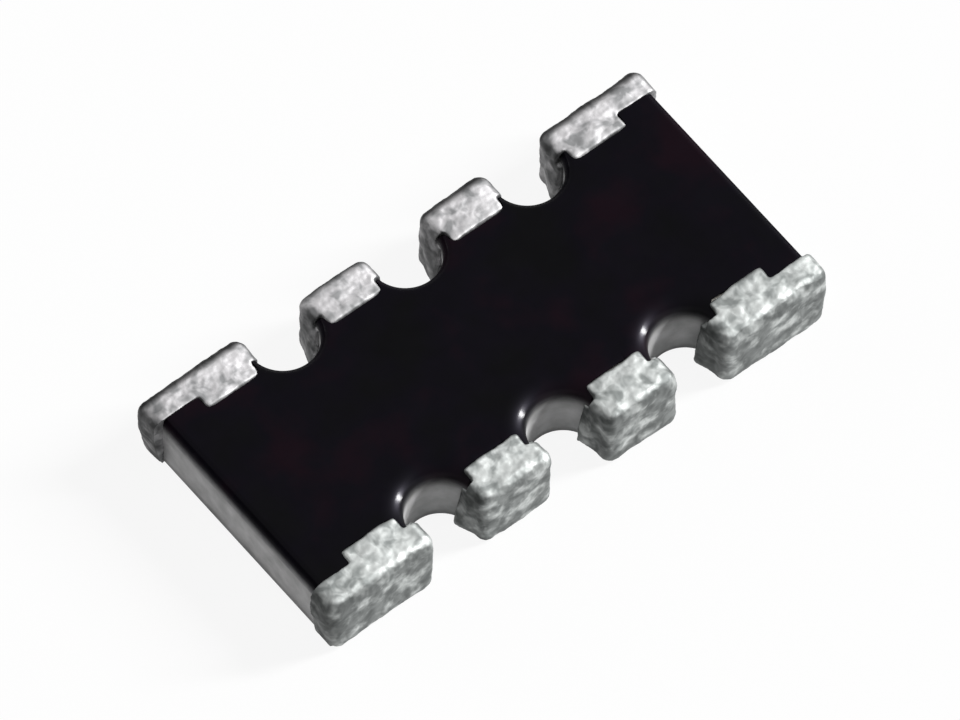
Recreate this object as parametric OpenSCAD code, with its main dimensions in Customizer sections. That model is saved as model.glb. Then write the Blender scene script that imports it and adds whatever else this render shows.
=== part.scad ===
// Chip resistor network: separate thick-film resistors side by side on one notched ceramic plate,
// with a wrap-around solder terminal on every tab.
// X runs along the row, the near side is -Y, and the terminals stand on Z = 0.
// Pins count along the near side from -X and back along the far side from +X,
// so resistor n joins pin n to the pin straight across the plate.

/* [Row] */
// Number of resistors in the row
resistor_count = 4; // [2:1:6]
// Distance between the centres of neighbouring terminals
pitch = 0.80; // [0.76:0.02:1.00]

/* [Ceramic plate] */
// Width of the bare plate across the tabs
plate_width = 1.52; // [1.50:0.02:2.00]
// Thickness of the bare plate
plate_thickness = 0.36; // [0.25:0.01:0.60]
// Width of the notch between two tabs
notch_width = 0.39; // [0.34:0.01:0.40]
// Depth of the notch from the edge of the bare plate
notch_depth = 0.30; // [0.29:0.01:0.33]
// Radius of a tab's corners at the mouth of a notch
tab_corner = 0.04; // [0.02:0.005:0.06]
// Radius of the top edge round the end of each notch, where the punch went in
notch_shoulder = 0.045; // [0.030:0.005:0.045]
// Depth of the snapping groove's flank, left along the top edge of each end
score_depth = 0.08; // [0.04:0.01:0.12]
// Width of that flank
score_width = 0.03; // [0.01:0.005:0.04]

/* [Terminals] */
// Thickness of the terminals on the sides of the tabs
side_plating = 0.02; // [0.015:0.005:0.03]
// Thickness of the four corner terminals on the outside of the plate
corner_plating = 0.04; // [0.02:0.005:0.05]
// Thickness of the terminal over the printed electrodes
face_plating = 0.022; // [0.018:0.002:0.030]
// Depth of the terminal's grip on the tab, from the edge of the bare plate
grip_depth = 0.13; // [0.11:0.01:0.16]
// How far the terminal's side walls run on into the notch past that grip
wall_run = 0.045; // [0.02:0.005:0.05]
// Depth of the bright band on top, from the edge of the bare plate
band_depth = 0.22; // [0.20:0.01:0.26]
// Depth of the solder pad underneath, from the edge of the bare plate
pad_depth = 0.27; // [0.22:0.01:0.30]
// Radius of the terminal's top and bottom edges
edge_radius = 0.06; // [0.040:0.002:0.064]
// How far the band and the pad spread past the sides of the printed electrode
band_spread = 0.02; // [0.01:0.005:0.03]
// Radius of the inner corners of the band and the pad
band_corner = 0.05; // [0.02:0.01:0.06]

/* [Printed films] */
// Width of the printed electrodes
electrode_width = 0.31; // [0.26:0.01:0.31]
// Thickness of the printed electrodes
electrode_thickness = 0.010; // [0.008:0.001:0.012]
// Length of resistor film between its two electrodes
film_gap = 0.60; // [0.40:0.02:0.66]
// Width of the resistor film
film_width = 0.32; // [0.24:0.01:0.34]
// Thickness of the resistor film
film_thickness = 0.008; // [0.006:0.001:0.008]
// How far the film laps onto each electrode
film_lap = 0.07; // [0.04:0.01:0.08]
// Width of the laser trimming cut
trim_kerf = 0.03; // [0.02:0.005:0.05]
// How far the cut reaches across the film, as a share of its width
trim_reach = 0.50; // [0.30:0.05:0.65]

/* [Coats] */
// How far the glass reaches past the film on each side
glass_margin = 0.02; // [0.01:0.005:0.03]
// Cover of glass over the highest part of the film
glass_cover = 0.004; // [0.003:0.001:0.005]
// Cover of black coat over the glass
coat_cover = 0.006; // [0.005:0.001:0.008]
// Radius of the black coat's rounded rims
coat_rim = 0.06; // [0.04:0.005:0.07]

/* [Hidden] */
$fn = 64;
// How far a cutting shape reaches past the faces that it cuts
over = 0.02;

plate_length = resistor_count * pitch;
pin_count = 2 * resistor_count;
notch_radius = notch_width / 2;
edge_y = plate_width / 2;
notch_centre_y = edge_y - notch_depth + notch_radius;
tab_half = (pitch - notch_width) / 2;
cap_corner = tab_corner + side_plating;

plate_bottom = electrode_thickness + face_plating;
plate_top = plate_bottom + plate_thickness;
terminal_top = plate_top + electrode_thickness + face_plating;
grip_y = edge_y - grip_depth;
band_y = edge_y - band_depth;
pad_y = edge_y - pad_depth;
band_width = electrode_width + 2 * band_spread;
electrode_end_y = edge_y - tab_corner / 2;
lap_height = electrode_thickness + film_thickness;
glass_top = plate_top + lap_height + glass_cover;
coat_top = glass_top + coat_cover;
film_end_y = film_gap / 2 + film_lap;

resistors = [1:resistor_count];
pins = [1:pin_count];

// Column of a resistor or pin along the row, and the side of the plate that a pin is on
function is_near(p) = p <= resistor_count;
function column(p) = is_near(p) ? p : pin_count + 1 - p;
function column_x(c) = (c - (resistor_count + 1) / 2) * pitch;

// Both sides of a column's tab, where the first and last tabs reach to the ends of the plate
function tab_left(c) = column_x(c) - (c == 1 ? pitch / 2 : tab_half);
function tab_right(c) = column_x(c) + (c == resistor_count ? pitch / 2 : tab_half);

// Outer sides of a column's terminals, which are thicker at the corners of the plate
function is_corner(c) = c == 1 || c == resistor_count;
function outer_plating(c) = is_corner(c) ? corner_plating : side_plating;
function terminal_left(c) = tab_left(c) - (c == 1 ? corner_plating : side_plating);
function terminal_right(c) = tab_right(c) + (c == resistor_count ? corner_plating : side_plating);
function terminal_y(c) = edge_y + outer_plating(c);

// Waste that rounds a corner at the origin whose sides run along +X and -Y
module corner_waste(r) {
    difference() {
        translate([-over, -r]) square([r + over, r + over]);
        translate([r, -r]) circle(r);
    }
}

// Rectangle between two opposite corners, with all four corners rounded
module rounded_rectangle(low, high, r) {
    size = high - low;
    translate((low + high) / 2)
        difference() {
            square(size, center = true);
            for (mx = [0, 1], my = [0, 1])
                mirror([mx, 0]) mirror([0, my]) translate([-size.x / 2, size.y / 2]) corner_waste(r);
        }
}

// Stands an outline drawn in Y and Z upright, and sweeps it along X
module sweep_x(x0, x1) {
    translate([x0, 0, 0])
        rotate([90, 0, 90]) linear_extrude(x1 - x0) children();
}

// Stands an outline drawn in X and Z upright, and sweeps it along Y
module sweep_y(y0, y1) {
    translate([0, y1, 0])
        rotate([90, 0, 0]) linear_extrude(y1 - y0) children();
}

// Lifts an outline drawn in X and Y into a slab between two heights
module slab(z0, z1) {
    translate([0, 0, z0]) linear_extrude(z1 - z0) children();
}

// Mirrors what is drawn for the far side over to the near side, where that is asked for
module on_side(near) {
    mirror([0, near ? 1 : 0, 0]) children();
}

// One notch, drawn with the middle of its mouth at the origin
module notch_outline() {
    translate([0, notch_radius - notch_depth]) circle(notch_radius);
    translate([-notch_radius, notch_radius - notch_depth])
        square([notch_width, notch_depth - notch_radius + over]);
    for (m = [0, 1]) mirror([m, 0]) translate([notch_radius, 0]) corner_waste(tab_corner);
}

module plate_outline() {
    difference() {
        square([plate_length, plate_width], center = true);
        for (c = [1:resistor_count - 1], near = [true, false])
            on_side(near) translate([column_x(c) + pitch / 2, edge_y]) notch_outline();
    }
}

// Waste along the rim of each notch's round end, for a rim that stands at height z
module rim_waste(z, r) {
    for (c = [1:resistor_count - 1], near = [true, false])
        on_side(near)
            translate([column_x(c) + pitch / 2, notch_centre_y, z])
                rotate([0, 0, 180])
                    rotate_extrude(angle = 180) translate([notch_radius, 0]) corner_waste(r);
}

// What a terminal covers of the plate's top, seen from above
module band_outline(p) {
    c = column(p);
    on_side(is_near(p)) {
        translate([tab_left(c) - over, grip_y])
            square([tab_right(c) - tab_left(c) + 2 * over, grip_depth + over]);
        face_outline(c, band_y);
    }
}

// Band or pad of a terminal, from its inner edge out to the end of the printed electrode
module face_outline(c, inner_y) {
    rounded_rectangle(
        [column_x(c) - band_width / 2, inner_y],
        [column_x(c) + band_width / 2, electrode_end_y],
        band_corner
    );
}

// The plate's section along the row, with the flanks of the snapping grooves at its top corners
module plate_section() {
    half = plate_length / 2;
    polygon([
        [-half, plate_bottom - over],
        [half, plate_bottom - over],
        [half, plate_top - score_depth],
        [half - score_width, plate_top],
        [score_width - half, plate_top],
        [-half, plate_top - score_depth],
    ]);
}

module ceramic_body() {
    difference() {
        intersection() {
            slab(plate_bottom, plate_top) plate_outline();
            sweep_y(-edge_y - over, edge_y + over) plate_section();
        }
        rim_waste(plate_top, notch_shoulder);
    }
}

module electrode(p, inner_y, z) {
    x = column_x(column(p));
    on_side(is_near(p))
        translate([x - electrode_width / 2, inner_y, z])
            cube([electrode_width, electrode_end_y - inner_y, electrode_thickness]);
}

module top_electrode_body(p) {
    electrode(p, film_gap / 2, plate_top);
}

module back_electrode_body(p) {
    electrode(p, pad_y + band_corner / 2, plate_bottom - electrode_thickness);
}

// Right half of the film's section: flat on the plate, then up and over the end of the electrode
function film_half_section() = let (
    step_y = film_gap / 2,
    lap_top = plate_top + lap_height
) [
    [step_y, plate_top],
    [step_y, plate_top + electrode_thickness],
    [film_end_y, plate_top + electrode_thickness],
    [film_end_y, lap_top],
    [step_y - film_thickness, lap_top],
    [step_y - film_thickness, plate_top + film_thickness],
];

module film_section() {
    half = film_half_section();
    last = len(half) - 1;
    polygon(concat(half, [for (i = [last:-1:0]) [-half[i].x, half[i].y]]));
}

// The trimming cut goes in from one side of the film and turns along it
module trim_cut(n) {
    x = column_x(n) - film_width / 2;
    reach = trim_reach * film_width;
    height = glass_top - plate_top + 2 * over;
    translate([x - glass_margin - over, -film_gap / 4, plate_top - over]) {
        cube([reach + glass_margin + over, trim_kerf, height]);
        translate([reach + glass_margin + over - trim_kerf, 0, 0])
            cube([trim_kerf, film_gap / 4, height]);
    }
}

module film_body(n) {
    difference() {
        sweep_x(column_x(n) - film_width / 2, column_x(n) + film_width / 2) film_section();
        trim_cut(n);
    }
}

// The glass levels out over the film and the ends of the two electrodes
module glass_body(n) {
    half_width = film_width / 2 + glass_margin;
    half_length = film_end_y + glass_margin;
    difference() {
        translate([column_x(n) - half_width, -half_length, plate_top])
            cube([2 * half_width, 2 * half_length, glass_top - plate_top]);
        film_body(n);
        top_electrode_body(n);
        top_electrode_body(pin_count + 1 - n);
        trim_cut(n);
    }
}

// Rounded cap over the end of a tab, before the tab is taken out of it
module tab_cap(c) {
    left = terminal_left(c);
    right = terminal_right(c);
    outer_y = terminal_y(c);
    inner_y = grip_y - 2 * cap_corner;
    intersection() {
        sweep_y(grip_y, outer_y + over)
            rounded_rectangle([left, 0], [right, terminal_top], edge_radius);
        sweep_x(left - over, right + over)
            rounded_rectangle([inner_y, 0], [outer_y, terminal_top], edge_radius);
        slab(-over, terminal_top + over)
            rounded_rectangle([left, inner_y], [right, outer_y], cap_corner);
    }
}

// Side walls in the notches, below the coat's rim, before the tab is taken out of them
module notch_walls(c) {
    left = c == 1 ? column_x(c) : terminal_left(c);
    right = c == resistor_count ? column_x(c) : terminal_right(c);
    translate([left, grip_y - wall_run, plate_bottom])
        cube([right - left, wall_run + over, plate_thickness - notch_shoulder]);
}

module terminal_body(p) {
    c = column(p);
    difference() {
        on_side(is_near(p)) {
            tab_cap(c);
            notch_walls(c);
            slab(plate_top - notch_shoulder, terminal_top) face_outline(c, band_y);
            slab(0, plate_bottom) face_outline(c, pad_y);
        }
        ceramic_body();
        top_electrode_body(p);
        back_electrode_body(p);
    }
}

module coat_outline() {
    difference() {
        plate_outline();
        for (p = pins) band_outline(p);
    }
}

// The coat runs over the ends onto the groove flanks, and its rims are rounded
module coat_body() {
    difference() {
        intersection() {
            slab(plate_top - score_depth, coat_top) coat_outline();
            sweep_y(-edge_y, edge_y)
                rounded_rectangle(
                    [-plate_length / 2, plate_bottom],
                    [plate_length / 2, coat_top],
                    coat_rim
                );
        }
        rim_waste(coat_top, coat_rim);
        ceramic_body();
        for (p = pins) top_electrode_body(p);
        for (n = resistors) {
            film_body(n);
            glass_body(n);
        }
    }
}

module ceramic_substrate() {
    color("darkgray") ceramic_body();
}

module overcoat() {
    color([0.07, 0.06, 0.08]) coat_body();
}

module resistor_film(n) {
    color([0.20, 0.19, 0.20]) film_body(n);
}

module glass_coat(n) {
    color([0.35, 0.45, 0.38]) glass_body(n);
}

module top_electrode(p) {
    color([0.86, 0.85, 0.80]) top_electrode_body(p);
}

module back_electrode(p) {
    color([0.86, 0.85, 0.80]) back_electrode_body(p);
}

module terminal(p) {
    color([0.80, 0.81, 0.80]) terminal_body(p);
}

ceramic_substrate();
overcoat();
for (n = resistors) {
    resistor_film(n);
    glass_coat(n);
}
for (p = pins) {
    top_electrode(p);
    back_electrode(p);
    terminal(p);
}
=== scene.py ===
# %% [markdown]
# # A chip resistor network
# Four film resistors are printed side by side on one ceramic chip, 3.2 mm long and 1.6 mm wide. A glossy
# black coat covers the films, and every tab along the two long sides carries a bright tin terminal.
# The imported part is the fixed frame: it gives each piece its place and size, and this lesson dresses it.

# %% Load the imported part
import math

import bmesh
import bpy
from mathutils import Matrix, Quaternion, Vector, noise


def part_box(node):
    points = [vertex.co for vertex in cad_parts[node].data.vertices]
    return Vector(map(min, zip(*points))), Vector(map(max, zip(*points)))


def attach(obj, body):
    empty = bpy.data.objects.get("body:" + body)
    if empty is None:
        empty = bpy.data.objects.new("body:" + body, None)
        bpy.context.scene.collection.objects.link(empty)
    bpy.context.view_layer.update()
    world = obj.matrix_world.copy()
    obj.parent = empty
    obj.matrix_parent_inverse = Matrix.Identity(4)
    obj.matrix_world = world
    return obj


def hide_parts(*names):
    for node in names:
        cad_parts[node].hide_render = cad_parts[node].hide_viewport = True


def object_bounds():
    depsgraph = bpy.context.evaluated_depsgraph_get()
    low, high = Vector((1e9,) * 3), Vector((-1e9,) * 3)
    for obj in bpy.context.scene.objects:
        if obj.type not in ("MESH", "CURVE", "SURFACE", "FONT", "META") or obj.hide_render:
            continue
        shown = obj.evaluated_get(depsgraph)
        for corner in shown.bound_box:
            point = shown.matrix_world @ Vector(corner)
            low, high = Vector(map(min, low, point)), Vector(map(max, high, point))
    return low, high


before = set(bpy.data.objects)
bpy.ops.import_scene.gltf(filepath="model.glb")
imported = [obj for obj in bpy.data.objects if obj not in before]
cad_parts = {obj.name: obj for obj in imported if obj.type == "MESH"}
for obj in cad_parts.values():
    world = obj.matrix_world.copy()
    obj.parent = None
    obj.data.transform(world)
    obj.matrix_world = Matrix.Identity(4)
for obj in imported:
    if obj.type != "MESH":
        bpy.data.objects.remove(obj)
cad_low, cad_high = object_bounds()
print("frame:", len(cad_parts), "nodes, box in mm", [round(1000 * s, 3) for s in cad_high - cad_low])

# %% [markdown]
# The chip is so small that Blender's own tolerances, such as the distance at which points are merged, would
# be coarse beside its films. So every new piece is shaped on a bench where one unit is one millimetre, and it
# is scaled down to metres when it is done. The frame's boxes give the driving sizes in the same unit.

# %% Measure the frame in millimetres
MM = 0.001
MICRON = 1e-6


def box_mm(node):
    low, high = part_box(node)
    return low / MM, high / MM


def column_of(pin):
    """Pins count along the near side, and back along the far side."""
    return pin if pin <= COLUMNS else PINS + 1 - pin


def column_x(column):
    return plate_low.x + (column - 0.5) * PITCH


plate_low, plate_high = box_mm("ceramic_substrate")
coat_low, coat_high = box_mm("overcoat")
COLUMNS = sum(name.startswith("glass_coat_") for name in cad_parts)
PINS = 2 * COLUMNS
PITCH = (plate_high.x - plate_low.x) / COLUMNS
NOTCH_XS = [plate_low.x + PITCH * n for n in range(1, COLUMNS)]
print("plate in mm:", [round(s, 3) for s in plate_high - plate_low], "pitch", round(PITCH, 3))

# %% [markdown]
# The rest of the sizes can't be read from a box, because they lie inside a piece's outline: the notches, the
# thickness of the plating, and how far each terminal reaches over the tab.

# %% Name the sizes inside the outlines
SIDE_PLATING = 0.02
NOTCH_DEPTH = 0.30
TAB_CORNER = 0.04
NOTCH_SHOULDER = 0.045
SCORE_DEPTH = 0.08
SCORE_WIDTH = 0.03
GRIP_DEPTH = 0.13
WALL_RUN = 0.045
BAND_DEPTH = 0.22
BAND_CORNER = 0.05
BAND_SPREAD = 0.02
PAD_DEPTH = 0.27

inner_low, inner_high = box_mm("terminal_2")
band_low, band_high = box_mm("top_electrode_2")
NOTCH_RADIUS = (PITCH - (inner_high.x - inner_low.x)) / 2 + SIDE_PLATING
NOTCH_ROOT = plate_high.y - NOTCH_DEPTH
NOTCH_Y = NOTCH_ROOT + NOTCH_RADIUS
GRIP_Y = plate_high.y - GRIP_DEPTH
BAND_HALF = (band_high.x - band_low.x) / 2 + BAND_SPREAD
BAND_Y = plate_high.y - BAND_DEPTH
PAD_Y = plate_high.y - PAD_DEPTH
TERMINAL_TOP = inner_high.z
print("notch radius", round(NOTCH_RADIUS, 3), "mm, band", round(2 * BAND_HALF, 3), "mm wide")

# %% [markdown]
# An outline is drawn as with a pen. One corner is pulled out into a line with an extrude, or turned about a
# centre with a spin, which leaves a true round. Only the far half is drawn, because the chip is the same on
# both sides: a mirror closes it.

# %% Draw outlines with a pen
ARC_STEPS = 40
CORNER_STEPS = 8
JOIN = 1e-5
TOUCH = 1e-3


def pen_line(bm, tip, x, y):
    tip = bmesh.ops.extrude_vert_indiv(bm, verts=[tip])["verts"][0]
    tip.co = (x, y, 0)
    return tip


def pen_arc(bm, tip, x, y, degrees, steps):
    made = bmesh.ops.spin(
        bm, geom=[tip], cent=(x, y, 0), axis=(0, 0, 1), angle=math.radians(degrees), steps=steps
    )
    return next(part for part in made["geom_last"] if isinstance(part, bmesh.types.BMVert))


def raise_outline(bm, low_z, high_z):
    """Mirrors the drawn half, fills it and lifts it into a closed slab."""
    bmesh.ops.mirror(bm, geom=bm.verts[:] + bm.edges[:], axis="Y", merge_dist=JOIN)
    bmesh.ops.remove_doubles(bm, verts=bm.verts, dist=JOIN)
    bmesh.ops.contextual_create(bm, geom=bm.edges[:])
    bmesh.ops.translate(bm, vec=(0, 0, low_z), verts=bm.verts)
    lifted = bmesh.ops.extrude_face_region(bm, geom=bm.faces[:], use_keep_orig=True)["geom"]
    top = [part for part in lifted if isinstance(part, bmesh.types.BMVert)]
    bmesh.ops.translate(bm, vec=(0, 0, high_z - low_z), verts=top)
    bmesh.ops.recalc_face_normals(bm, faces=bm.faces)


def edges_where(bm, test):
    return [edge for edge in bm.edges if all(test(vert.co) for vert in edge.verts)]


def on_notch_root(point, radius):
    """True on the round end of any notch, on either side of the chip."""
    past = abs(point.y) - NOTCH_Y
    return past < JOIN / 2 and any(abs(math.hypot(point.x - x, past) - radius) < TOUCH for x in NOTCH_XS)


def round_edges(bm, edges, radius, segments):
    bmesh.ops.bevel(
        bm, geom=edges, offset=radius, offset_type="OFFSET", segments=segments,
        profile=0.5, affect="EDGES", material=-1,
    )


print("pen ready:", ARC_STEPS, "steps in the round of a notch")

# %% [markdown]
# A piece on the bench is an ordinary object, so that modifiers can work on it. Cutting one piece with another
# is a Boolean, and what the modifiers leave is written back into the mesh.

# %% Put pieces on the bench
def bench(bm, name):
    mesh = bpy.data.meshes.new(name)
    bm.to_mesh(mesh)
    bm.free()
    piece = bpy.data.objects.new(name, mesh)
    bpy.context.scene.collection.objects.link(piece)
    return piece


def keep_modifiers(piece):
    depsgraph = bpy.context.evaluated_depsgraph_get()
    worked = bpy.data.meshes.new_from_object(piece.evaluated_get(depsgraph))
    piece.modifiers.clear()
    unworked, piece.data = piece.data, worked
    bpy.data.meshes.remove(unworked)


def cut(piece, *cutters):
    for cutter in cutters:
        boolean = piece.modifiers.new("cut", "BOOLEAN")
        boolean.operation = "DIFFERENCE"
        boolean.solver = "EXACT"
        boolean.object = cutter
    keep_modifiers(piece)


def block(bm, low, high):
    """A box between two corners, as the edges that a bevel can then take."""
    verts = bmesh.ops.create_cube(bm, size=1)["verts"]
    bmesh.ops.scale(bm, vec=high - low, verts=verts)
    bmesh.ops.translate(bm, vec=(low + high) / 2, verts=verts)
    return list({edge for vert in verts for edge in vert.link_edges})


print("bench ready")

# %% [markdown]
# The ceramic is pressed and punched before it is fired, and chips are snapped apart along scored lines. That
# leaves a rounded shoulder where the punch went in, a sloping flank along the top of each end, and a rough
# broken face below it. The outline is lifted to a slab, the shoulders are a bevel, the flanks a cut with a
# plane, and the broken faces are divided finely and pushed about by noise.

# %% Shape the ceramic plate
SHOULDER_STEPS = 6
BREAK_CUTS = 30
BREAK_GRAIN = 0.11
BREAK_DEPTH = 0.008
BREAK_FADE = 0.03
NOISE_DROP = 0.75
NOISE_STEP = 2.15
NOISE_OCTAVES = 4


def rough(point, size):
    """Fractal noise from about -1 to 1, with its longest waves that many millimetres long."""
    return noise.fractal(point / size, NOISE_DROP, NOISE_STEP, NOISE_OCTAVES)


def draw_plate_half(bm):
    corner_y = plate_high.y - TAB_CORNER
    half_mouth = NOTCH_RADIUS + TAB_CORNER
    tip = bm.verts.new((plate_low.x, 0, 0))
    tip = pen_line(bm, tip, plate_low.x, plate_high.y)
    for x in NOTCH_XS:
        tip = pen_line(bm, tip, x - half_mouth, plate_high.y)
        tip = pen_arc(bm, tip, x - half_mouth, corner_y, -90, CORNER_STEPS)
        tip = pen_line(bm, tip, x - NOTCH_RADIUS, NOTCH_Y)
        tip = pen_arc(bm, tip, x, NOTCH_Y, 180, ARC_STEPS)
        tip = pen_line(bm, tip, x + NOTCH_RADIUS, corner_y)
        tip = pen_arc(bm, tip, x + half_mouth, corner_y, -90, CORNER_STEPS)
    tip = pen_line(bm, tip, plate_high.x, plate_high.y)
    pen_line(bm, tip, plate_high.x, 0)


def break_end(bm, side):
    """Slopes the scored flank of one end, and roughens the broken face under it."""
    end_x = side * plate_high.x
    score_z = plate_high.z - SCORE_DEPTH
    flank = bmesh.ops.bisect_plane(
        bm, geom=bm.verts[:] + bm.edges[:] + bm.faces[:], dist=JOIN / 100, clear_outer=True,
        plane_co=(end_x, 0, score_z), plane_no=(side * SCORE_DEPTH, 0, SCORE_WIDTH),
    )
    rim = [part for part in flank["geom_cut"] if isinstance(part, bmesh.types.BMEdge)]
    bmesh.ops.edgeloop_fill(bm, edges=rim)
    face_edges = edges_where(bm, lambda p: abs(p.x - end_x) < JOIN)
    bmesh.ops.subdivide_edges(bm, edges=face_edges, cuts=BREAK_CUTS, use_grid_fill=True)
    for vert in bm.verts:
        inside = min(vert.co.z - plate_low.z, score_z - vert.co.z)
        if abs(vert.co.x - end_x) < JOIN and inside > JOIN:
            depth = (1 + rough(vert.co, BREAK_GRAIN)) / 2
            vert.co.x -= side * BREAK_DEPTH * depth * min(1, inside / BREAK_FADE)


def make_ceramic():
    bm = bmesh.new()
    draw_plate_half(bm)
    raise_outline(bm, plate_low.z, plate_high.z)
    roots = edges_where(bm, lambda p: p.z > plate_high.z - JOIN and on_notch_root(p, NOTCH_RADIUS))
    round_edges(bm, roots, NOTCH_SHOULDER, SHOULDER_STEPS)
    for side in (-1, 1):
        break_end(bm, side)
    bmesh.ops.recalc_face_normals(bm, faces=bm.faces)
    return bench(bm, "ceramic_plate")


ceramic = make_ceramic()
print("ceramic plate:", len(ceramic.data.polygons), "faces")

# %% [markdown]
# The black coat is a paste that is printed over the films and flows a little before it sets. On this chip its
# rim rolls over broadly round the near notches, much wider than it drops, and tightly round the far notches
# and along the two ends. A bevel only makes equal steps both ways, so the slab is stretched upright before
# the bevel and squeezed back after it: the round becomes an ellipse. What lies under the coat, and the
# windows for the terminals, are then cut out of it.

# %% Shape the black coat
ROLL_WIDTH = 0.13
ROLL_DROP = 0.062
TIGHT_ROLL = 0.05
ROLL_STEPS = 12
TUCK = 0.0005
CUT_OVER = 0.1


def draw_coat_half(bm):
    radius = NOTCH_RADIUS + TUCK
    half_chord = math.sqrt(radius**2 - (NOTCH_Y - GRIP_Y) ** 2)
    sweep = 180 - 2 * math.degrees(math.asin((NOTCH_Y - GRIP_Y) / radius))
    tip = bm.verts.new((plate_low.x + TUCK, 0, 0))
    tip = pen_line(bm, tip, plate_low.x + TUCK, GRIP_Y)
    for x in NOTCH_XS:
        tip = pen_line(bm, tip, x - half_chord, GRIP_Y)
        tip = pen_arc(bm, tip, x, NOTCH_Y, sweep, ARC_STEPS)
    tip = pen_line(bm, tip, plate_high.x - TUCK, GRIP_Y)
    pen_line(bm, tip, plate_high.x - TUCK, 0)


def window_cutter():
    """A rounded block over each terminal's band, tall enough to cut through the coat."""
    bm = bmesh.new()
    for pin in range(1, PINS + 1):
        x = column_x(column_of(pin))
        side = -1 if pin <= COLUMNS else 1
        low_y, high_y = sorted((side * BAND_Y, side * (GRIP_Y + BAND_CORNER)))
        low = Vector((x - BAND_HALF, low_y, coat_low.z - CUT_OVER))
        high = Vector((x + BAND_HALF, high_y, coat_high.z + CUT_OVER))
        edges = block(bm, low, high)
        inner = [
            edge for edge in edges
            if all(abs(abs(vert.co.y) - BAND_Y) < JOIN for vert in edge.verts)
            and abs(edge.verts[0].co.x - edge.verts[1].co.x) < JOIN
        ]
        round_edges(bm, inner, BAND_CORNER, CORNER_STEPS)
    return bench(bm, "window_cutter")


def box_cutter(prefix):
    """One block for every frame node of that kind, to hollow out what covers them."""
    bm = bmesh.new()
    for name in sorted(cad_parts):
        if name.startswith(prefix):
            block(bm, *box_mm(name))
    return bench(bm, prefix + "cutter")


def roll_rim(bm, on_rim, width, drop):
    """Rounds the top edges of one kind of rim, wider than they drop."""
    rim = edges_where(bm, lambda p: p.z > coat_high.z - JOIN and on_rim(p))
    stretch = width / drop
    bmesh.ops.scale(bm, vec=(1, 1, stretch), verts=bm.verts)
    round_edges(bm, rim, width, ROLL_STEPS)
    bmesh.ops.scale(bm, vec=(1, 1, 1 / stretch), verts=bm.verts)


def make_coat():
    bm = bmesh.new()
    draw_coat_half(bm)
    raise_outline(bm, coat_low.z, coat_high.z)
    root = NOTCH_RADIUS + TUCK
    end_x = plate_high.x - TUCK
    roll_rim(bm, lambda p: p.y < 0 and on_notch_root(p, root), ROLL_WIDTH, ROLL_DROP)
    roll_rim(bm, lambda p: p.y > 0 and on_notch_root(p, root), TIGHT_ROLL, TIGHT_ROLL)
    roll_rim(bm, lambda p: abs(abs(p.x) - end_x) < JOIN, TIGHT_ROLL, TIGHT_ROLL)
    coat = bench(bm, "black_coat")
    cut(coat, ceramic, window_tool, electrode_tool, glass_tool)
    return coat


window_tool = window_cutter()
electrode_tool = box_cutter("top_electrode_")
glass_tool = box_cutter("glass_coat_")
pad_tool = box_cutter("back_electrode_")
bench_tools = [window_tool, electrode_tool, glass_tool, pad_tool]
coat = make_coat()
print("black coat:", len(coat.data.polygons), "faces")

# %% [markdown]
# A terminal starts as silver on the tab and is then plated in a barrel with nickel and tin. Four rounded
# blocks give its cap, its band, its pad and its walls in the notches, and the walls flare towards the foot.
# Blocks are used because each has edges of its own to round: the cap's are broad, the others' are fine.

# %% Build a terminal from four blocks
SIDE_EDGE = 0.065
TOP_EDGE = 0.060
FOOT_EDGE = 0.04
BAND_EDGE = 0.018
BAND_DIP = 0.08
FLARE = 0.05


def inner_side(edge, y):
    return all(abs(vert.co.y - y) < JOIN for vert in edge.verts)


def terminal_blocks(bm, low, high, x, is_first, is_last):
    """The four blocks of a far-side terminal, before they are welded."""
    cap = block(bm, Vector((low.x, GRIP_Y, 0)), Vector((high.x, high.y, TERMINAL_TOP)))
    upright = [edge for edge in cap if abs(edge.verts[0].co.z - edge.verts[1].co.z) > JOIN]
    round_edges(bm, [edge for edge in upright if not inner_side(edge, GRIP_Y)], SIDE_EDGE, CORNER_STEPS)
    for z, radius in ((TERMINAL_TOP, TOP_EDGE), (0, FOOT_EDGE)):
        rim = edges_where(bm, lambda p: abs(p.z - z) < JOIN)
        round_edges(bm, [edge for edge in rim if not inner_side(edge, GRIP_Y)], radius, CORNER_STEPS)
    reach = plate_high.y - TAB_CORNER
    for inner_y, low_z, high_z in (
        (BAND_Y, plate_high.z - BAND_DIP, TERMINAL_TOP), (PAD_Y, 0, plate_low.z + BAND_DIP),
    ):
        band = block(bm, Vector((x - BAND_HALF, inner_y, low_z)), Vector((x + BAND_HALF, reach, high_z)))
        round_edges(bm, [edge for edge in band if not inner_side(edge, reach)], BAND_EDGE, CORNER_STEPS)
    wall_low = Vector((x if is_first else low.x, GRIP_Y - WALL_RUN, plate_low.z))
    wall_high = Vector((x if is_last else high.x, reach, plate_high.z - NOTCH_SHOULDER))
    walls = block(bm, wall_low, wall_high)
    for vert in {vert for edge in walls for vert in edge.verts}:
        if (vert.co.yz - wall_low.yz).length < JOIN and abs(vert.co.x - x) > JOIN:
            vert.co.x += math.copysign(FLARE, vert.co.x - x)
    round_edges(bm, [edge for edge in walls if not inner_side(edge, reach)], SIDE_PLATING / 2, CORNER_STEPS)


print("blocks ready: cap rounded by", TOP_EDGE, "mm on top, band and pad by", BAND_EDGE, "mm")

# %% [markdown]
# Plating grows into a soft, lumpy skin, thicker on the crown and thin where it wraps the foot of the two
# ends. Noise along the normals raises the lumps. The ends are drawn in by a rule on height, which is easier
# to steer than a sculpted shape, and a thin skin of tin always stays on the ceramic.

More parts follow.
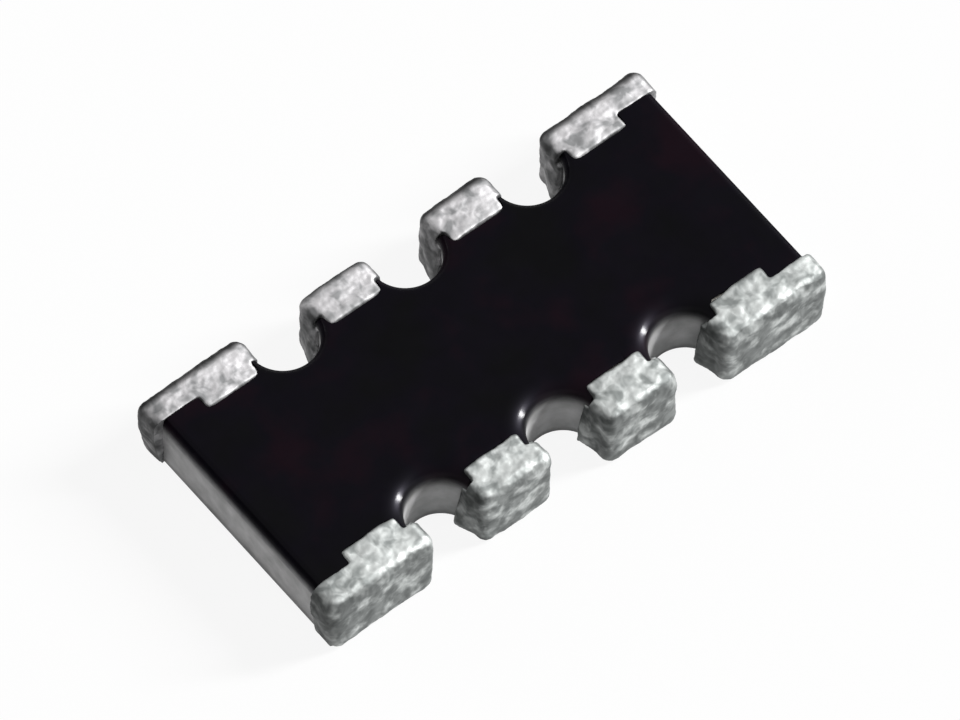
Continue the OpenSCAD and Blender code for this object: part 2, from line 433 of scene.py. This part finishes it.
# %% Raise the grain and settle the foot
CROWN = 0.010
LEAN_HEIGHT = 0.25
LEAN_DEPTH = 0.06
LEAN_SHARE = 0.35
SKIN = 0.005
GRAIN_SIZE = 0.085
GRAIN_HEIGHT = 0.0045
LUMP_SIZE = 0.16
LUMP_HEIGHT = 0.008
PIN_SHIFT = 7.3


def raise_grain(bm, pin):
    """Raises lumps and grain along the normals, in a different place for every pin."""
    shift = Vector((PIN_SHIFT * pin, 0, 0))
    bm.normal_update()
    moves = []
    for vert in bm.verts:
        lump = noise.noise((vert.co + shift) / LUMP_SIZE)
        grain = rough(vert.co + shift, GRAIN_SIZE)
        moves.append(vert.normal * (LUMP_HEIGHT * lump + GRAIN_HEIGHT * grain))
    for vert, move in zip(bm.verts, moves):
        vert.co += move


def settle(bm, low, high):
    """Crowns the top, draws the end wraps in at the foot, and stands the foot flat on the table."""
    middle = (low.x + high.x) / 2
    half = (high.x - low.x) / 2
    for vert in bm.verts:
        x, y, z = vert.co
        over = max(0, abs(x) - plate_high.x + LEAN_DEPTH)
        drawn = abs(x) - LEAN_SHARE * over * max(0, 1 - z / LEAN_HEIGHT)
        if abs(y) < plate_high.y:
            drawn = max(drawn, min(abs(x), plate_high.x + SKIN))
        upper = max(0, 2 * z / TERMINAL_TOP - 1)
        crown = CROWN * upper * (0.5 - ((x - middle) / half) ** 2)
        vert.co = (math.copysign(drawn, x), y, max(z + crown, 0))


print("grain ready:", LUMP_HEIGHT, "mm of lumps and", GRAIN_HEIGHT, "mm of grain")

# %% [markdown]
# The terminals took up tin unevenly: the table of extra tin says what a pin has more of at its left, right
# and outer side, in millimetres. A voxel remesh welds the blocks into one skin of even cells, and a smooth
# lets it flow together. The tab and the printed silver are cut out last, so the terminal seats on them as
# plating does.

# %% Grow the tin terminals
VOXEL = 0.009
FLOW_ROUNDS = 3
FLOW_SHARE = 0.5
EXTRA_TIN = {
    1: (0, 0.035, 0), 2: (0, 0.02, 0), 3: (0, 0.025, 0.025), 4: (0.03, 0, 0),
    5: (0.01, 0, 0), 6: (0, 0, 0.02), 8: (0.02, 0, 0),
}


def flow_together(bm):
    for _ in range(FLOW_ROUNDS):
        bmesh.ops.smooth_vert(
            bm, verts=bm.verts, factor=FLOW_SHARE, use_axis_x=True, use_axis_y=True, use_axis_z=True
        )


def make_terminal(pin):
    low, high = box_mm(f"terminal_{pin}")
    column = column_of(pin)
    near = pin <= COLUMNS
    if near:
        low.y, high.y = -high.y, -low.y
    left, right, out = EXTRA_TIN.get(pin, (0, 0, 0))
    low.x -= left
    high.x += right
    high.y += out
    bm = bmesh.new()
    terminal_blocks(bm, low, high, column_x(column), column == 1, column == COLUMNS)
    if near:
        bmesh.ops.scale(bm, vec=(1, -1, 1), verts=bm.verts)
    bmesh.ops.recalc_face_normals(bm, faces=bm.faces)
    piece = bench(bm, f"tin_terminal_{pin}")
    weld = piece.modifiers.new("weld", "REMESH")
    weld.mode = "VOXEL"
    weld.voxel_size = VOXEL
    keep_modifiers(piece)
    bm = bmesh.new()
    bm.from_mesh(piece.data)
    flow_together(bm)
    raise_grain(bm, pin)
    settle(bm, low, high)
    bm.to_mesh(piece.data)
    bm.free()
    cut(piece, ceramic, electrode_tool, pad_tool)
    return piece


terminals = [make_terminal(pin) for pin in range(1, PINS + 1)]
print("tin terminals:", [len(piece.data.polygons) for piece in terminals], "faces")

# %% [markdown]
# A finish is built from nodes that read Object coordinates, turned into millimetres by a Mapping node, so a
# pattern keeps its real size on every piece. These small helpers keep each recipe short.

# %% Helpers for the finishes
class Finish:
    """A new material with its shader, and coordinates in millimetres."""

    def __init__(self, name):
        self.material = bpy.data.materials.new(name)
        self.material.use_nodes = True
        self.nodes = self.material.node_tree.nodes
        self.links = self.material.node_tree.links
        self.shader = self.nodes["Principled BSDF"]
        place = self.add("ShaderNodeTexCoord")
        scale = self.add("ShaderNodeMapping")
        scale.inputs["Scale"].default_value = (1 / MM, 1 / MM, 1 / MM)
        self.join(place.outputs["Object"], scale.inputs["Vector"])
        self.place = scale.outputs["Vector"]

    def add(self, kind):
        return self.nodes.new(kind)

    def join(self, source, target):
        self.links.new(source, target)

    def cloud(self, size, detail=3.0, warp=0.0):
        """Noise whose patches are about size millimetres across."""
        node = self.add("ShaderNodeTexNoise")
        node.inputs["Scale"].default_value = 1 / size
        node.inputs["Detail"].default_value = detail
        node.inputs["Distortion"].default_value = warp
        self.join(self.place, node.inputs["Vector"])
        return node.outputs["Fac"]

    def cells(self, size):
        """Distance to the nearest of scattered points about size millimetres apart."""
        node = self.add("ShaderNodeTexVoronoi")
        node.inputs["Scale"].default_value = 1 / size
        self.join(self.place, node.inputs["Vector"])
        return node.outputs["Distance"]

    def along(self, axis, low, high, vector=None):
        """Goes from 0 at one place on an axis to 1 at another, in millimetres, or along another vector."""
        split = self.add("ShaderNodeSeparateXYZ")
        self.join(vector or self.place, split.inputs["Vector"])
        node = self.add("ShaderNodeMapRange")
        node.inputs["From Min"].default_value = low
        node.inputs["From Max"].default_value = high
        self.join(split.outputs[axis], node.inputs["Value"])
        return node.outputs["Result"]

    def ramp(self, source, *stops):
        """Colours or grey levels at chosen places along a source value."""
        node = self.add("ShaderNodeValToRGB")
        elements = node.color_ramp.elements
        while len(elements) < len(stops):
            elements.new(1.0)
        for element, (position, colour) in zip(elements, stops):
            element.position = position
            element.color = (*colour, 1) if isinstance(colour, tuple) else (colour, colour, colour, 1)
        self.join(source, node.inputs["Fac"])
        return node.outputs["Color"]

    def mix(self, factor, first, second, mode="MIX"):
        node = self.add("ShaderNodeMix")
        node.data_type = "RGBA"
        node.blend_type = mode
        for socket, value in ((node.inputs[0], factor), (node.inputs[6], first), (node.inputs[7], second)):
            if isinstance(value, bpy.types.NodeSocket):
                self.join(value, socket)
            else:
                socket.default_value = value
        return node.outputs[2]

    def bump(self, height, microns, strength):
        node = self.add("ShaderNodeBump")
        node.inputs["Distance"].default_value = microns * MICRON
        node.inputs["Strength"].default_value = strength
        self.join(height, node.inputs["Height"])
        self.join(node.outputs["Normal"], self.shader.inputs["Normal"])

    def paint(self, colour, roughness):
        self.join(colour, self.shader.inputs["Base Color"])
        self.join(roughness, self.shader.inputs["Roughness"])


print("finish helpers ready")

# %% [markdown]
# Matt tin is a skin of crystals that grew in different directions, so patches a few hundredths of a
# millimetre wide shine and dull by turns. The lumps are already in the mesh. The material adds the colour of
# single crystals and their uneven gloss. Faces that look up are painted bright and the sides a darker grey,
# which is painted light and shade, and a noise adds bright scuffs here and there, so the surface normal and
# the noise mix the two. Over that lies a trace of green on the near side and of lilac on the far side, and
# more painted shade: a duller grey on the sides that look left and on the left end, and a painted dark
# reflection along the upper rim of the far terminals.

# %% Finish of the tin
LOOKS_UP = (0.68, 0.96)
LOOKS_LEFT = (-0.9, -0.4)
NEAR_TINT = (0.97, 1.0, 0.985)
FAR_TINT = (1.0, 0.985, 1.0)
# How far painted shade darkens the tin: on the sides that look left, on the left end, and as a painted dark
# reflection on the far terminals' upper rim.
LEFT_PAINTED_SHADE = 0.46
END_PAINTED_SHADE = 0.70
END_STRIP = 0.14
FAR_RIM_DARK_REFLECTION = 0.15
RIM_INNER = plate_high.y - 0.03
RIM_OUTER = plate_high.y + 0.01
RIM_FOOT = TERMINAL_TOP - 0.06
RIM_HEAD = TERMINAL_TOP - 0.03


# A faint near and far tint, then painted shade on the sides that look left and on the left end, and a painted
# dark reflection on the far upper rim.
def tint_and_painted_shade_layers(tin, normal):
    rim = tin.ramp(tin.along("Y", RIM_INNER, RIM_OUTER), (0.0, 1.0), (1.0, FAR_RIM_DARK_REFLECTION))
    return (
        tin.ramp(tin.along("Y", NOTCH_Y, -NOTCH_Y), (0.0, FAR_TINT), (1.0, NEAR_TINT)),
        tin.ramp(tin.along("X", *LOOKS_LEFT, normal), (0.0, LEFT_PAINTED_SHADE), (1.0, 1.0)),
        tin.ramp(tin.along("X", plate_low.x, plate_low.x + END_STRIP), (0.0, END_PAINTED_SHADE), (1.0, 1.0)),
        tin.mix(tin.along("Z", RIM_FOOT, RIM_HEAD), (1, 1, 1, 1), rim),
    )


def tin_finish():
    tin = Finish("matt_tin")
    crystals = tin.cloud(0.080, detail=2.0, warp=0.4)
    # Painted light and shade: the bright colour goes on faces that look up and the dark one on the sides,
    # with noise for bright scuffs.
    bright_top_and_scuffs = tin.ramp(crystals, (0.36, (0.45, 0.46, 0.46)), (0.58, (0.95, 0.95, 0.95)))
    shaded_side_grey = tin.ramp(crystals, (0.34, (0.19, 0.195, 0.195)), (0.66, (0.32, 0.325, 0.325)))
    normal = tin.add("ShaderNodeNewGeometry").outputs["Normal"]
    scuffs = tin.ramp(tin.cloud(0.11, detail=3.0), (0.46, 0.0), (0.62, 0.55))
    lit_top_and_scuff_mask = tin.mix(1.0, tin.along("Z", *LOOKS_UP, normal), scuffs, "LIGHTEN")
    colour = tin.mix(lit_top_and_scuff_mask, shaded_side_grey, bright_top_and_scuffs)
    for layer in tint_and_painted_shade_layers(tin, normal):
        colour = tin.mix(1.0, colour, layer, "MULTIPLY")
    tin.paint(colour, tin.ramp(crystals, (0.35, 0.74), (0.65, 0.60)))
    tin.shader.inputs["Metallic"].default_value = 1.0
    tin.bump(tin.cloud(0.05, detail=2.0), 3.0, 0.5)
    return tin.material


print("tin finish ready")

# %% [markdown]
# The coat is a black epoxy. A clear gloss lies over a hazy lilac sheen, and the black itself holds a trace of
# wine red and violet in broad clouds. Its face has the faint waves of a paste that levelled before it set.
# The level top is glossy, and so is the broad roll round the near notches, down to where it runs thin. The
# tight rims at the ends and the far notches set matt, and the grey of the ceramic begins to show through low
# on them.

# %% Finish of the black coat
WINE = (0.0056, 0.0009, 0.0034)
VIOLET = (0.0014, 0.0008, 0.0028)
BLACK = (0.0010, 0.0010, 0.0011)
LEVEL_TOP = (coat_high.z - 0.010, coat_high.z - 0.003)
GLOSSY_ROLL = (coat_high.z - 0.036, coat_high.z - 0.022)
ROLL_START = ROLL_WIDTH - NOTCH_ROOT
NEAR_SIDE = (ROLL_START + 0.05, ROLL_START - 0.01)
FROM_LEFT = (plate_low.x + 0.15, plate_low.x + 0.30)
FROM_RIGHT = (plate_high.x - 0.15, plate_high.x - 0.30)


def wet_places(black):
    """1 on the level top and the near rolls, and 0 on the other rims."""
    wet = black.along("Z", *GLOSSY_ROLL)
    for axis, limits in (("Y", NEAR_SIDE), ("X", FROM_LEFT), ("X", FROM_RIGHT)):
        wet = black.mix(1.0, wet, black.along(axis, *limits), "MULTIPLY")
    return black.mix(1.0, wet, black.along("Z", *LEVEL_TOP), "LIGHTEN")


def coat_finish():
    black = Finish("black_epoxy")
    colour = black.ramp(black.cloud(0.45, detail=4.0), (0.36, BLACK), (0.52, VIOLET), (0.66, WINE))
    thin = black.ramp(black.cloud(0.06), (0.3, (0.24, 0.24, 0.25)), (0.7, (0.34, 0.34, 0.34)))
    height = black.along("Z", coat_low.z, coat_high.z)
    cover = black.ramp(height, (0.0, 0.0), (0.40, 0.70), (0.62, 0.95), (0.80, 1.0))
    wet = wet_places(black)
    haze = black.ramp(black.cloud(0.12), (0.3, 0.33), (0.7, 0.40))
    matt = black.ramp(black.cloud(0.05), (0.3, 0.65), (0.7, 0.80))
    black.paint(black.mix(cover, thin, colour), black.mix(wet, matt, haze))
    black.join(black.ramp(wet, (0.0, 0.05), (1.0, 0.12)), black.shader.inputs["Specular IOR Level"])
    black.join(wet, black.shader.inputs["Coat Weight"])
    black.shader.inputs["Coat Roughness"].default_value = 0.16
    black.shader.inputs["Coat IOR"].default_value = 1.28
    black.shader.inputs["Specular Tint"].default_value = (0.78, 0.74, 1.0, 1)
    black.bump(black.cloud(0.20, detail=2.0), 1.0, 0.5)
    return black.material


print("coat finish ready: the broad roll begins at y =", round(ROLL_START, 3), "mm")

# %% [markdown]
# Fired alumina is a dull grey-white body of tiny grains. Its broken ends are mottled. High on the walls,
# under the coat's rim, the grey is darkened as painted shade, and it is also a little darker towards the
# foot.

# %% Finish of the ceramic
def ceramic_finish():
    grey = Finish("grey_alumina")
    body = grey.ramp(grey.cloud(0.10, detail=4.0), (0.3, (0.40, 0.40, 0.40)), (0.7, (0.60, 0.595, 0.60)))
    height = grey.along("Z", plate_low.z, plate_high.z)
    # Painted shade darkens the top of the wall under the coat's rim; the grey is also a little darker towards
    # the foot.
    height_darkening = grey.ramp(
        height, (0.0, 0.55), (0.12, 0.95), (0.58, 1.0), (0.76, 0.70), (0.86, 0.28), (0.95, 0.05)
    )
    grey.paint(grey.mix(1.0, body, height_darkening, "MULTIPLY"), grey.ramp(grey.cloud(0.05), (0.3, 0.7), (0.7, 0.9)))
    grey.shader.inputs["Specular IOR Level"].default_value = 0.2
    grey.bump(grey.cloud(0.04, detail=3.0), 3.0, 0.6)
    return grey.material


print("ceramic finish ready")

# %% [markdown]
# Under the coat lie the films: sintered silver electrodes, the dark resistor paste with its conducting
# grains, and a thin green glass. They can't be seen from outside, but they are finished too, for anyone who
# opens the chip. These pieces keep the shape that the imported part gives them.

# %% Finishes of the inner films
def silver_finish():
    silver = Finish("fired_silver")
    grains = silver.cloud(0.02, detail=3.0)
    silver.paint(
        silver.ramp(grains, (0.35, (0.52, 0.50, 0.45)), (0.65, (0.82, 0.80, 0.74))),
        silver.ramp(grains, (0.3, 0.55), (0.7, 0.38)),
    )
    silver.shader.inputs["Metallic"].default_value = 1.0
    silver.bump(grains, 1.5, 0.6)
    return silver.material


def film_finish():
    film = Finish("resistor_paste")
    specks = film.cells(0.012)
    film.paint(
        film.ramp(specks, (0.15, (0.10, 0.095, 0.10)), (0.6, (0.028, 0.027, 0.030))),
        film.ramp(specks, (0.2, 0.40), (0.7, 0.65)),
    )
    film.bump(specks, 1.0, 0.5)
    return film.material


def glass_finish():
    glass = Finish("green_glass")
    waves = glass.cloud(0.08, detail=2.0)
    glass.paint(
        glass.ramp(waves, (0.3, (0.07, 0.15, 0.09)), (0.7, (0.12, 0.22, 0.14))),
        glass.ramp(waves, (0.3, 0.08), (0.7, 0.16)),
    )
    glass.shader.inputs["Coat Weight"].default_value = 0.5
    glass.bump(waves, 1.0, 0.4)
    return glass.material


print("finishes of the films ready")

# %% [markdown]
# Every piece now leaves the bench: it is scaled to metres, shaded smooth between its sharp edges, given its
# finish, and set to ride on the frame in place of the nodes that it stands for.

# %% Move the pieces into the frame
CERAMIC_SHARP = 25
COAT_SHARP = 35
TIN_SHARP = 50


def to_frame(piece, finish, node, sharp_degrees):
    mesh = piece.data
    mesh.transform(Matrix.Scale(MM, 4))
    mesh.materials.clear()
    mesh.materials.append(finish)
    mesh.shade_smooth()
    mesh.set_sharp_from_angle(angle=math.radians(sharp_degrees))
    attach(piece, "root")
    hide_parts(node)


for tool in bench_tools:
    bpy.data.objects.remove(tool)
tin = tin_finish()
to_frame(ceramic, ceramic_finish(), "ceramic_substrate", CERAMIC_SHARP)
to_frame(coat, coat_finish(), "overcoat", COAT_SHARP)
for pin, piece in enumerate(terminals, 1):
    to_frame(piece, tin, f"terminal_{pin}", TIN_SHARP)

inner_finishes = {
    "top_electrode_": silver_finish(),
    "resistor_film_": film_finish(),
    "glass_coat_": glass_finish(),
}
inner_finishes["back_electrode_"] = inner_finishes["top_electrode_"]
for name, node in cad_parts.items():
    for prefix, finish in inner_finishes.items():
        if name.startswith(prefix):
            node.data.materials.clear()
            node.data.materials.append(finish)
print("dressed pieces:", 2 + len(terminals), "and inner nodes:", len(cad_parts) - 2 - len(terminals))

# %% [markdown]
# The chip lies on a plain white table. Most of the white is a glow that only the eye sees, straight or in a
# reflection, so the table stays white in the picture and still takes a faint shadow.

# %% Set the table
FLOOR_RADIUS = 0.4
FLOOR_SIDES = 96
WHITE_SHARE = 0.9


def seen_by_eye(paper):
    """1 for rays from the eye, also by way of a gloss or through glass, and 0 for the light on the chip."""
    path = paper.add("ShaderNodeLightPath")
    seen = path.outputs["Is Camera Ray"]
    for kind in ("Is Glossy Ray", "Is Transmission Ray"):
        either = paper.add("ShaderNodeMath")
        either.operation = "MAXIMUM"
        paper.join(seen, either.inputs[0])
        paper.join(path.outputs[kind], either.inputs[1])
        seen = either.outputs[0]
    return seen


def table_finish():
    paper = Finish("white_table")
    paper.paint(
        paper.ramp(paper.cloud(6.0), (0.3, (0.91, 0.91, 0.91)), (0.7, (0.93, 0.93, 0.93))),
        paper.ramp(paper.cloud(1.0), (0.3, 0.85), (0.7, 0.95)),
    )
    glow = paper.add("ShaderNodeEmission")
    blend = paper.add("ShaderNodeMixShader")
    paper.join(paper.ramp(seen_by_eye(paper), (0.0, 0.0), (1.0, WHITE_SHARE)), blend.inputs["Fac"])
    paper.join(paper.shader.outputs["BSDF"], blend.inputs[1])
    paper.join(glow.outputs["Emission"], blend.inputs[2])
    paper.join(blend.outputs["Shader"], paper.nodes["Material Output"].inputs["Surface"])
    return paper.material


def white_table():
    bm = bmesh.new()
    bmesh.ops.create_circle(bm, cap_ends=True, radius=FLOOR_RADIUS, segments=FLOOR_SIDES)
    table = bench(bm, "table")
    table.data.materials.append(table_finish())


white_table()
print("table set, radius in m:", FLOOR_RADIUS)

# %% [markdown]
# Two soft lamps light the chip. The main one is a strip, low on the right. It is turned so that its long side
# runs down the slope of the coat's rolls, and its reflection there is a small round spot. A weaker lamp fills
# in the left end and the back. The sky is kept dim, so the glossy coat stays black.

# %% Set the lamps
LAMP_DISTANCE = 0.3


def direction(azimuth, elevation):
    """Unit vector towards a lamp or camera: azimuth 0 is the near side, 90 the right."""
    a, e = math.radians(azimuth), math.radians(elevation)
    return Vector((math.sin(a) * math.cos(e), -math.cos(a) * math.cos(e), math.sin(e)))


def softbox(name, azimuth, elevation, size, irradiance, turn=0):
    """A lamp of that width and height that gives that irradiance on a face turned towards it."""
    lamp = bpy.data.lights.new(name, "AREA")
    lamp.shape = "RECTANGLE"
    lamp.size, lamp.size_y = size
    lamp.energy = irradiance * math.pi * LAMP_DISTANCE**2
    holder = bpy.data.objects.new(name, lamp)
    towards = direction(azimuth, elevation)
    holder.location = towards * LAMP_DISTANCE
    holder.rotation_mode = "QUATERNION"
    holder.rotation_quaternion = towards.to_track_quat("Z", "Y") @ Quaternion((0, 0, 1), math.radians(turn))
    bpy.context.scene.collection.objects.link(holder)


def dim_sky(level):
    world = bpy.data.worlds.new("dim_sky")
    world.use_nodes = True
    world.node_tree.nodes["Background"].inputs["Color"].default_value = (level, level, level, 1)
    bpy.context.scene.world = world


softbox("main_lamp", azimuth=70, elevation=33, size=(0.03, 0.15), irradiance=4.4, turn=-21.6)
softbox("fill_lamp", azimuth=-140, elevation=15, size=(0.16, 0.16), irradiance=0.75)
dim_sky(0.17)
print("lamps set:", len(bpy.data.lights))

# %% [markdown]
# The camera looks down on the near left corner from far away with a very long lens, as a microscope does, so
# the edges stay almost parallel. Its angles, and the place that it aims at, were found by laying the chip's
# outline over the photograph.

# %% Place the camera
CAMERA_AZIMUTH = -39.23
CAMERA_ELEVATION = 59.04
CAMERA_ROLL = 0.87
FRAME_WIDTH = 4.924 * MM
AIM_OFFSET = Vector((-0.0212, -0.0069)) * MM
LENS = 1000.0
SENSOR = 36.0
NEAREST_SEEN = 0.001
FARTHEST_SEEN = 2.0


def place_camera():
    back = direction(CAMERA_AZIMUTH, CAMERA_ELEVATION)
    level = Vector((0, 0, 1)).cross(back).normalized()
    upright = back.cross(level)
    roll = math.radians(CAMERA_ROLL)
    right = level * math.cos(roll) + upright * math.sin(roll)
    up = upright * math.cos(roll) - level * math.sin(roll)
    distance = LENS * FRAME_WIDTH / SENSOR
    aim = (cad_low + cad_high) / 2 + right * AIM_OFFSET.x + up * AIM_OFFSET.y
    data = bpy.data.cameras.new("camera")
    data.lens = LENS
    data.sensor_width = SENSOR
    data.clip_start = NEAREST_SEEN
    data.clip_end = FARTHEST_SEEN
    camera = bpy.data.objects.new("camera", data)
    turned = Matrix((right, up, back)).transposed().to_4x4()
    camera.matrix_world = Matrix.Translation(aim + back * distance) @ turned
    bpy.context.scene.collection.objects.link(camera)
    bpy.context.scene.camera = camera
    return distance


print("camera distance in mm:", round(place_camera() / MM, 1))
bpy.context.scene.view_settings.view_transform = "Standard"
